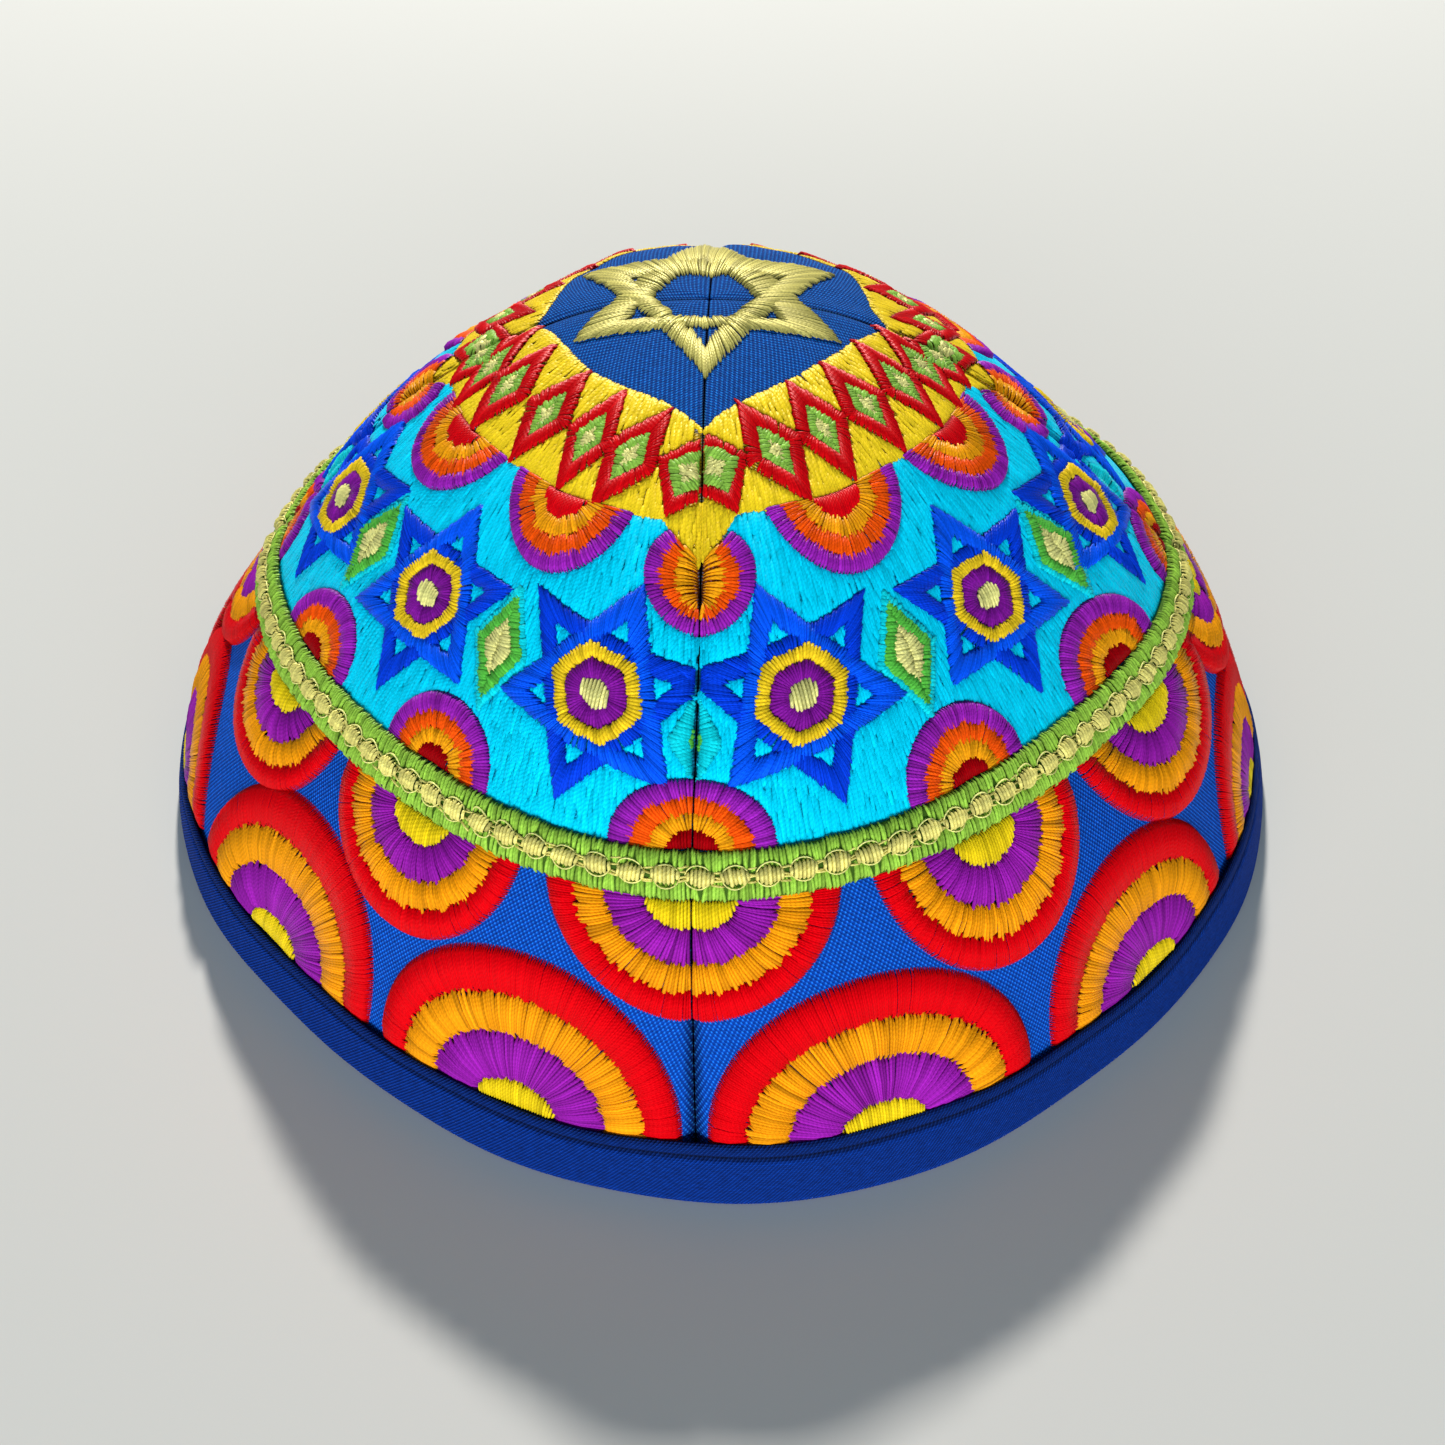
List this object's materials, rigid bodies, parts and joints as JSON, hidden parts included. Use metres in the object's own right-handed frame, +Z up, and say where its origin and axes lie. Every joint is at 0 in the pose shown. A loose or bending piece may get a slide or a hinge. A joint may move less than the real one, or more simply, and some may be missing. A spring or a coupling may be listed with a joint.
{
  "type": "kippah",
  "caption": "Deep domed skullcap of embroidered cloth panels with a braid trim round it and a bound rim; rests on its rim.",
  "frame": {"origin": "middle of the rim, on the surface that the cap rests on", "axes": "+Z up through the crown, -Y towards the front seam, +X to the right of a viewer in front; the seams lie over the X and Y axes"},
  "size_m": [0.1729, 0.1728, 0.079],
  "materials": {
    "embroidered_cloth": "plain-woven cloth under dense satin stitch",
    "braid_thread": "thick thread, stitched and looped",
    "binding_tape": "fine twill"
  },
  "bodies": {
    "root": {"panel_front_left": "embroidered_cloth", "panel_front_right": "embroidered_cloth", "panel_back_left": "embroidered_cloth", "panel_back_right": "embroidered_cloth", "braid_trim": "braid_thread", "rim_binding": "binding_tape"}
  },
  "joints": []
}
